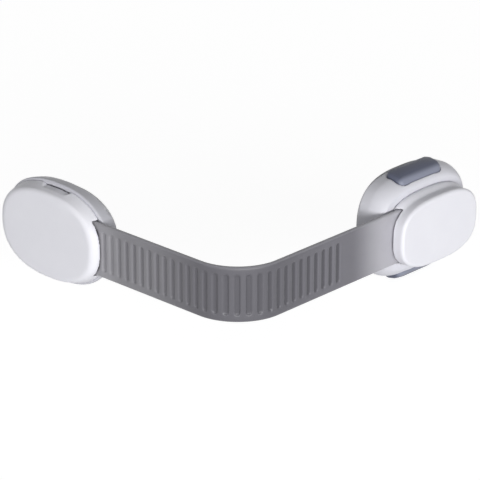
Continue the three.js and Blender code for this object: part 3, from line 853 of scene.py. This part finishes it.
cover = pebble("cover", ANCHOR, heeled(cover_wall, COVER_GROOVE, steps=1))
cover_hollow = [(COVER_BACK - PAST, COVER_INSET + COVER_WALL, COVER_INSET + COVER_WALL)]
cover_hollow += [(level, end + COVER_WALL, side + COVER_WALL) for level, end, side in cover_wall
                 if level < COVER_FRONT - WALL]
cut(cover, pebble("hollow", ANCHOR, cover_hollow))
cut(cover, pry_slot(PRY_LOW, PRY_HIGH), pry_slot(-PRY_HIGH, -PRY_LOW),
    block((SCREW_AT, -STRAP_HALF, COVER_BACK - PAST),
          (FAR, STRAP_HALF, STRAP_ON_ANCHOR[1] + NOTCH_GAP)))
boss_top = COVER_FRONT - WALL + SEAT
*bed_places, rim_place = anchor_places
join(cover, *[rod(BOSS, STRAP_ON_ANCHOR[1] + SEAT, boss_top, *place) for place in bed_places],
     rod(BOSS, ANCHOR_RIM + SEAT, boss_top, *rim_place))
cut(cover, *[rod(PILOT, POD_BACK, COVER_FRONT - WALL, *place) for place in anchor_places])
dress(mould(cover, anchor_board), white_shell, "anchor", "white_shell", "anchor_cover")

# %% [markdown]
# ## Adhesive pads
# Each pod is stuck on with a thin foam tape cut to the pod's outline. Foam that was die-cut bulges
# a little at its edge, so the side is an arc instead of a straight wall. A cloth simulation would
# add nothing to a disc one millimetre thick.

# %% Adhesive pads
PAD_THICKNESS, PAD_INSET, PAD_BULGE = 1, 1.2, 0.25
PAD_STEPS = 9


def adhesive_pad(name, shape, inset, board):
    side = [(PAD_THICKNESS * (1 - math.cos(angle)) / 2, inset + PAD_BULGE * (1 - math.sin(angle)))
            for angle in np.linspace(0, math.pi, PAD_STEPS)]
    return settle(pebble(name, shape, side), board)


latch_pad = adhesive_pad("latch_foam", POD, PAD_INSET, latch_board)
anchor_pad = adhesive_pad("anchor_foam", ANCHOR, ANCHOR_TAPER + PAD_INSET, anchor_board)
dress(latch_pad, foam_tape, "latch", "foam_tape", "latch_adhesive_pad")
dress(anchor_pad, foam_tape, "anchor", "foam_tape", "anchor_adhesive_pad")

# %% [markdown]
# ## A recipe for what repeats
# Geometry Nodes suit what repeats or follows a path. `Recipe` is a tree with named inputs, and
# `cook` runs it on an object and keeps the plain mesh, because the export drops instances.

# %% Recipes


class Recipe(Tree):
    """A Geometry Nodes tree with named inputs."""

    def __init__(self, name, inputs):
        super().__init__(bpy.data.node_groups.new(name, "GeometryNodeTree"))
        face = self.tree.interface
        face.new_socket("Geometry", in_out="INPUT", socket_type="NodeSocketGeometry")
        self.values = {}
        for label, value in inputs.items():
            kind = "NodeSocketInt" if isinstance(value, int) else "NodeSocketFloat"
            socket = face.new_socket(label, in_out="INPUT", socket_type=kind)
            self.values[socket.identifier] = value
        face.new_socket("Geometry", in_out="OUTPUT", socket_type="NodeSocketGeometry")
        given = self.tree.nodes.new("NodeGroupInput").outputs
        self.given = {label: Wire(self, given[label]) for label in ("Geometry", *inputs)}

    def serve(self, geometry, material):
        """Ends the tree with real, painted geometry."""
        real = self.node("GeometryNodeRealizeInstances", None, {"Geometry": geometry})
        sockets = {"Geometry": real, "Material": material}
        self.end("NodeGroupOutput", self.node("GeometryNodeSetMaterial", None, sockets))

    def cook(self, host, name):
        """Runs the tree on a host object and leaves a plain mesh in its place."""
        modifier = host.modifiers.new("recipe", "NODES")
        modifier.node_group = self.tree
        for identifier, value in self.values.items():
            modifier[identifier] = value
        mesh = plain_mesh(host)
        bpy.data.objects.remove(host)
        return new_object(name, mesh)


# %% [markdown]
# ## The release spring
# One small compression spring stands between the two sliders. A spiral with a round profile swept
# along it is the whole recipe.

# %% Release spring
SPRING_LENGTH, SPRING_DIAMETER, SPRING_WIRE, SPRING_TURNS = 8.4, 2.8, 0.45, 5.0
SPRING_AT = 5.25
COIL_STEPS, WIRE_POINTS = 40, 12

coil_length = SPRING_LENGTH - SPRING_WIRE
coil = Recipe("coil", {"Turns": SPRING_TURNS, "Radius": (SPRING_DIAMETER - SPRING_WIRE) / 2,
                       "Length": coil_length, "Wire radius": SPRING_WIRE / 2})
helix = coil.node("GeometryNodeCurveSpiral", None, {
    "Resolution": COIL_STEPS, "Rotations": coil.given["Turns"],
    "Start Radius": coil.given["Radius"], "End Radius": coil.given["Radius"],
    "Height": coil.given["Length"]})
wire = coil.node("GeometryNodeCurvePrimitiveCircle", None, {
    "Resolution": WIRE_POINTS, "Radius": coil.given["Wire radius"]})
swept = coil.node("GeometryNodeCurveToMesh", None, {
    "Curve": helix, "Profile Curve": wire, "Fill Caps": True})
coil.serve(swept, steel)
spring = coil.cook(new_piece("spring_host", [(0, 0, 0)], []), "spring_coil")
spring.data.transform(Matrix.Translation((0, -SPRING_AT, -coil_length / 2)))
dress(settle(spring, lock_board), steel, "latch", "steel", "release_spring")
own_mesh(spring)

# %% [markdown]
# ## The strap's path
# Seen from above the strap runs straight from the anchor, turns the corner on an arc and runs
# straight to the latch. A place on it is given by its run: millimetres from the middle of the
# bend, positive towards the latch.

# %% Strap path
STRAP_WIDTH = 17.7
BEND_RADIUS, BEND_STEPS = 16, 49
LATCH_TONGUE_X, ANCHOR_TONGUE_Y = -7.5, 59.5

half_bend = BEND_RADIUS * math.pi / 4
corner_x, corner_y = strap_corner.x / MM, strap_corner.y / MM
bend_x, bend_y = corner_x + BEND_RADIUS, corner_y + BEND_RADIUS
latch_run = half_bend + LATCH_TONGUE_X - bend_x
anchor_run = -half_bend - (ANCHOR_TONGUE_Y - bend_y)


def strap_place(run):
    """The point on the strap's middle line at a run, and the way that its front faces there."""
    if run > half_bend:
        return (bend_x + run - half_bend, corner_y), (0, -1)
    if run < -half_bend:
        return (corner_x, bend_y - run - half_bend), (-1, 0)
    angle = run / BEND_RADIUS - math.pi / 4
    facing = (math.sin(angle), -math.cos(angle))
    return (bend_x + BEND_RADIUS * facing[0], bend_y + BEND_RADIUS * facing[1]), facing


strap_runs = [anchor_run, *np.linspace(-half_bend, half_bend, BEND_STEPS), latch_run]
print("strap length along its middle:", round(latch_run - anchor_run, 1), "mm")

# %% [markdown]
# ## Strap: the band
# The band is a rounded section carried along the path. The path itself is kept as a curve, for the
# row of slots to follow.

# %% Strap band
STRAP_ROUND, STRAP_ROUND_STEPS = 0.75, 5

section = rounded_oblong(STRAP_THICKNESS, STRAP_WIDTH, STRAP_ROUND, STRAP_ROUND_STEPS)
sections = []
for run in strap_runs:
    (x, y), (face_x, face_y) = strap_place(run)
    sections.append([(x + offset * face_x, y + offset * face_y, height)
                     for offset, height in section])
strap = stack("strap_band", sections)

path_data = bpy.data.curves.new("strap_path", "CURVE")
path_data.dimensions = "3D"
line = path_data.splines.new("POLY")
line.points.add(len(strap_runs) - 1)
for point, run in zip(line.points, strap_runs):
    point.co = (*strap_place(run)[0], 0, 1)
strap_path = new_object("strap_path", path_data)
print("strap sections:", len(sections))

# %% [markdown]
# ## Strap: the slots
# Between the strap's raised bars lie shallow slots with round ends. One slot cutter is a filled
# pill, made thick. Geometry Nodes sample the path at equal steps and set a cutter at each place,
# turned to face outwards, so the row follows the bend. The bars could be drawn one by one instead,
# but then a new pitch would mean a new drawing.

# %% Strap slots
SLOT_COUNT, SLOT_PITCH, SLOT_WIDTH, SLOT_DEPTH = 30, 3.27, 1.67, 0.45
FIRST_SLOT_RUN = -56.1
RAIL = 2.3
ROUND_END, ROUND_END_STEPS = 0.499, 6

slots = Recipe("strap slots", {
    "Count": SLOT_COUNT, "Pitch": SLOT_PITCH, "First": FIRST_SLOT_RUN - anchor_run,
    "Width": SLOT_WIDTH, "Length": STRAP_WIDTH - 2 * RAIL,
    "Floor": STRAP_THICKNESS / 2 - SLOT_DEPTH, "Reach": 2 * SLOT_DEPTH})
given = slots.given
pill = slots.node("GeometryNodeCurvePrimitiveQuadrilateral", None, {
    "Width": given["Width"], "Height": given["Length"]})
pill = slots.node("GeometryNodeFilletCurve", {"mode": "POLY"}, {
    "Curve": pill, "Radius": given["Width"] * ROUND_END, "Count": ROUND_END_STEPS})
plate = slots.node("GeometryNodeFillCurve", {"mode": "NGONS"}, {"Curve": pill})
risen = slots.node("GeometryNodeExtrudeMesh", None, {
    "Mesh": plate, "Offset Scale": given["Reach"], "Individual": False})
under = slots.node("GeometryNodeFlipFaces", None, {"Mesh": plate})
shut = slots.node("GeometryNodeJoinGeometry", None, {"Geometry": [risen, under]})
cutter = slots.node("GeometryNodeMergeByDistance", None, {"Geometry": shut})
lift = slots.node("ShaderNodeCombineXYZ", None, {"Z": given["Floor"]})
cutter = slots.node("GeometryNodeTransform", None, {"Geometry": cutter, "Translation": lift})

along = given["First"] + slots.node("GeometryNodeInputIndex") * given["Pitch"]
position = slots.node("GeometryNodeSampleCurve", {"mode": "LENGTH"}, {
    "Curves": given["Geometry"], "Length": along}, output="Position")
tangent = position.other("Tangent")
outward = slots.node("ShaderNodeVectorMath", {"operation": "CROSS_PRODUCT"}, {
    0: tangent, 1: (0, 0, 1)})
facing = slots.node("FunctionNodeAxesToRotation", {"primary_axis": "Z", "secondary_axis": "X"}, {
    0: outward, 1: tangent})
points = slots.node("GeometryNodePoints", None, {"Count": given["Count"], "Position": position})
row = slots.node("GeometryNodeInstanceOnPoints", None, {
    "Points": points, "Instance": cutter, "Rotation": facing})
slots.serve(row, inner_plastic)

cutters = slots.cook(strap_path, "slot_cutters")
print("slot cutters:", len(cutters.data.polygons), "faces")
cut(strap, cutters)
mould(strap, lock_board, smoothing=5)

# %% [markdown]
# ## Strap: what the finish has to know
# The strap is smoky, half-clear rubber. Its slots get painted shade, its long edges a painted
# highlight, and it gets painted light where a white pod lies just behind it and would show through.
# Rubber that really lets light through would take longer to render and change with the light
# behind it. So three attributes carry this to the material: each point's run, its depth in a slot
# and how near it is to a long edge.

# %% Strap attributes
FRONT_HALF = -0.2
EDGE_GLOW = 0.9


def mark_strap(piece):
    """Stores each point's run, its depth under the front face and its nearness to an edge."""
    places = np.array([vertex.co for vertex in piece.data.vertices]) / MM
    x, y = places[:, 0] - bend_x, places[:, 1] - bend_y
    from_edge = STRAP_WIDTH / 2 - np.abs(places[:, 2])
    angle = np.clip(np.arctan2(x, -y), -math.pi / 2, 0)
    run = BEND_RADIUS * (angle + math.pi / 4) + np.maximum(x, 0) - np.maximum(y, 0)
    out = np.hypot(np.minimum(x, 0), np.minimum(y, 0)) - BEND_RADIUS
    below = np.clip((STRAP_THICKNESS / 2 - out) / SLOT_DEPTH, 0, 1)
    depth = np.where((from_edge > RAIL) & (out > FRONT_HALF), below, 0)
    edge = np.clip(1 - from_edge / EDGE_GLOW, 0, 1)
    for name, values in (("strap_run", run), ("slot_depth", depth), ("edge_near", edge)):
        attribute = piece.data.attributes.new(name, "FLOAT", "POINT")
        attribute.data.foreach_set("value", values.astype(np.float32))
    print("points in slots:", int((depth > 0).sum()), "of", len(places))


mark_strap(strap)

# %% [markdown]
# ## Strap: finish
# The strap's colour changes slowly from leg to leg as painted light and shade, lighter on the
# anchor leg and darkest at the bend, so its colours are mixed by the run.

# %% Strap finish
RUBBER_GLOSS = 0.4
SMOKE_LIT_ANCHOR, SMOKE_SHADED_BEND, SMOKE_LIT_LATCH = (136, 135, 140), (97, 96, 102), (115, 114, 121)
SLOT_SHADE_TONE, EDGE_HIGHLIGHT_TONE, HAZE_TONE = (72, 71, 77), (176, 175, 181), (88, 87, 93)
LIGHT_THROUGH_LATCH_TONE, LIGHT_THROUGH_ANCHOR_TONE = (192, 191, 198), (180, 179, 184)
ANCHOR_LEG, LATCH_LEG, SLOT_SHADE_RUNS = (-40, -6), (6, 44), (-8, 20)
OVER_LATCH, OVER_ANCHOR = (44, 60), (42, 54)
SLOT_WALL, EDGE_BAND = (0.25, 0.9), (0.2, 1)
SLOT_SHADE_SHARES, EDGE_HIGHLIGHT_SHARE, HAZE_SHARE = (0.4, 0.85), 0.5, 0.18
LIGHT_THROUGH_LATCH_SHARE, LIGHT_THROUGH_ANCHOR_SHARE = 0.85, 0.45
HAZE, RUBBER_GRAIN, RUBBER_DEPTH, RUBBER_STRENGTH = 6 * MM, 0.35 * MM, 0.01 * MM, 0.3
RUBBER_SMOOTH, HAZE_ROUGH, GRAIN_ROUGH = 0.3, 0.14, 0.08


def smoky_rubber():
    paint = Paint("smoky_strap", Specular_IOR_Level=RUBBER_GLOSS)
    run = paint.attribute("strap_run")
    depth = paint.ease(paint.attribute("slot_depth"), *SLOT_WALL)
    edge = paint.ease(paint.attribute("edge_near"), *EDGE_BAND)
    haze = paint.noise(HAZE, detail=4)
    grain = paint.noise(RUBBER_GRAIN)
    # Painted light and shade from leg to leg: lighter on the anchor leg, darkest at the bend.
    smoke = paint.mix(paint.ease(run, *ANCHOR_LEG), linear(*SMOKE_LIT_ANCHOR), linear(*SMOKE_SHADED_BEND))
    smoke = paint.mix(paint.ease(run, *LATCH_LEG), smoke, linear(*SMOKE_LIT_LATCH))
    # Painted highlight along the long rounded edges.
    smoke = paint.mix(edge * EDGE_HIGHLIGHT_SHARE, smoke, linear(*EDGE_HIGHLIGHT_TONE))
    # Painted shade in the slots, deeper on the latch leg.
    slot_shade_share = depth * between(*SLOT_SHADE_SHARES, paint.ease(run, *SLOT_SHADE_RUNS))
    smoke = paint.mix(slot_shade_share, smoke, linear(*SLOT_SHADE_TONE))
    # Painted light where the white pods behind would show through the strap.
    over_latch = paint.ease(run, *OVER_LATCH) * LIGHT_THROUGH_LATCH_SHARE
    over_anchor = paint.ease(0 - run, *OVER_ANCHOR) * LIGHT_THROUGH_ANCHOR_SHARE
    smoke = paint.mix(over_latch, smoke, linear(*LIGHT_THROUGH_LATCH_TONE))
    smoke = paint.mix(over_anchor, smoke, linear(*LIGHT_THROUGH_ANCHOR_TONE))
    return paint.finish(
        Base_Color=paint.mix(haze * HAZE_SHARE, smoke, linear(*HAZE_TONE)),
        Roughness=RUBBER_SMOOTH + HAZE_ROUGH * haze + GRAIN_ROUGH * grain,
        Normal=paint.bump(grain, RUBBER_DEPTH, RUBBER_STRENGTH),
    )


dress(strap, smoky_rubber(), None, "smoky_strap", "strap")
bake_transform(strap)

# %% [markdown]
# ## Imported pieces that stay
# The base plate, the hook plate and the screws are simple, mostly hidden shapes, so the packed
# meshes stay as they are and only take the finer finishes.

# %% Carried-over pieces
for name, node in frame["nodes"].items():
    if node.hide_render:
        continue
    node.data.materials.clear()
    node.data.materials.append(steel if "screw" in name else inner_plastic)
    print("kept:", name)

# %% [markdown]
# ## Floor
# The photograph is a plain catalogue picture on a white ground. The floor is pale and takes the
# lock's shadow. A share of plain white is mixed in for what the camera sees of it, so the ground
# is white without more light on the lock.

# %% Floor
FLOOR_GAP, FLOOR_SIZE = 0.2 * MM, 6
GROUND_TONE = (226, 226, 226)
GROUND_WHITE, GROUND_WHITE_SHARE = 1.4, 0.65


def shader_mix(tree, share, first, second):
    return tree.node("ShaderNodeMixShader", None, {0: share, 1: first, 2: second})


def seen_directly(tree):
    """1 for rays from the camera, from gloss and through glass, and 0 for all other rays."""
    camera_ray = tree.node("ShaderNodeLightPath", output="Is Camera Ray")
    seen = camera_ray
    for other in ("Is Glossy Ray", "Is Transmission Ray"):
        seen = seen.work_out("MAXIMUM", seen, camera_ray.other(other))
    return seen


lock_low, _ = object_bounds()
floor_z = lock_low[2] - FLOOR_GAP
half_floor = FLOOR_SIZE / 2
floor_corners = [(-half_floor, -half_floor), (half_floor, -half_floor),
                 (half_floor, half_floor), (-half_floor, half_floor)]
floor = new_piece("floor", [(x, y, floor_z) for x, y in floor_corners], [(0, 1, 2, 3)])
ground = bpy.data.materials.new("pale_ground")
ground.use_nodes = True
ground_tree = Tree(ground.node_tree)
matt = ground_tree.node("ShaderNodeBsdfDiffuse", None, {"Color": linear(*GROUND_TONE)})
white = ground_tree.node("ShaderNodeEmission", None, {"Strength": GROUND_WHITE})
whiter = shader_mix(ground_tree, GROUND_WHITE_SHARE, matt, white)
ground_seen = shader_mix(ground_tree, seen_directly(ground_tree), matt, whiter)
ground_tree.end("ShaderNodeOutputMaterial", ground_seen)
floor.data.materials.append(ground)
print("floor at", round(floor_z / MM, 2), "mm")

# %% [markdown]
# ## Lamps
# In the photograph a broad, low light falls from the front right, and little comes from above. A
# weaker lamp fills the left. A lamp behind the lock keeps the far side readable in other views. It
# is kept out of reflections, so that it draws no bright line on the buttons.

# %% Lamps
LAMP_DISTANCE = 1.0
LIT_PLACE = strap_corner + Vector((0.03, 0.03, 0))


def soft_lamp(name, side, above, width, height, watts):
    """An area lamp that faces the lock, turned from the camera to the right and up."""
    azimuth, rise = math.radians(CAMERA_AZIMUTH + side), math.radians(above)
    level = Vector((math.sin(azimuth), -math.cos(azimuth), 0))
    direction = level * math.cos(rise) + Vector((0, 0, math.sin(rise)))
    data = bpy.data.lights.new(name, "AREA")
    data.shape = "RECTANGLE"
    data.size, data.size_y = width, height
    data.energy = watts
    lamp = new_object(name, data)
    lamp.location = LIT_PLACE + direction * LAMP_DISTANCE
    lamp.rotation_euler = direction.to_track_quat("Z", "Y").to_euler()
    print(name, "at", [round(value, 2) for value in lamp.location])
    return lamp


soft_lamp("key", side=17, above=8, width=1.2, height=0.24, watts=10.4)
soft_lamp("left fill", side=-45, above=6, width=0.8, height=0.3, watts=2.0)
rear_fill = soft_lamp("rear fill", side=180, above=3, width=1.2, height=0.2, watts=4)
rear_fill.visible_glossy = False

# %% [markdown]
# ## The room
# The world stands for the walls of a studio: a faint even light on the lock, and plain white where
# it is seen directly or in a reflection.

# %% World
ROOM_LIGHT = 0.17
WHITE = linear(255, 255, 255)

world = bpy.data.worlds.new("studio")
bpy.context.scene.world = world
world.use_nodes = True
room = Tree(world.node_tree)
dim = room.node("ShaderNodeBackground", None, {"Color": WHITE, "Strength": ROOM_LIGHT})
backdrop = room.node("ShaderNodeBackground", None, {"Color": WHITE})
room.end("ShaderNodeOutputWorld", shader_mix(room, seen_directly(room), dim, backdrop))
bpy.context.scene.view_settings.view_transform = "Standard"
print("room light:", ROOM_LIGHT)
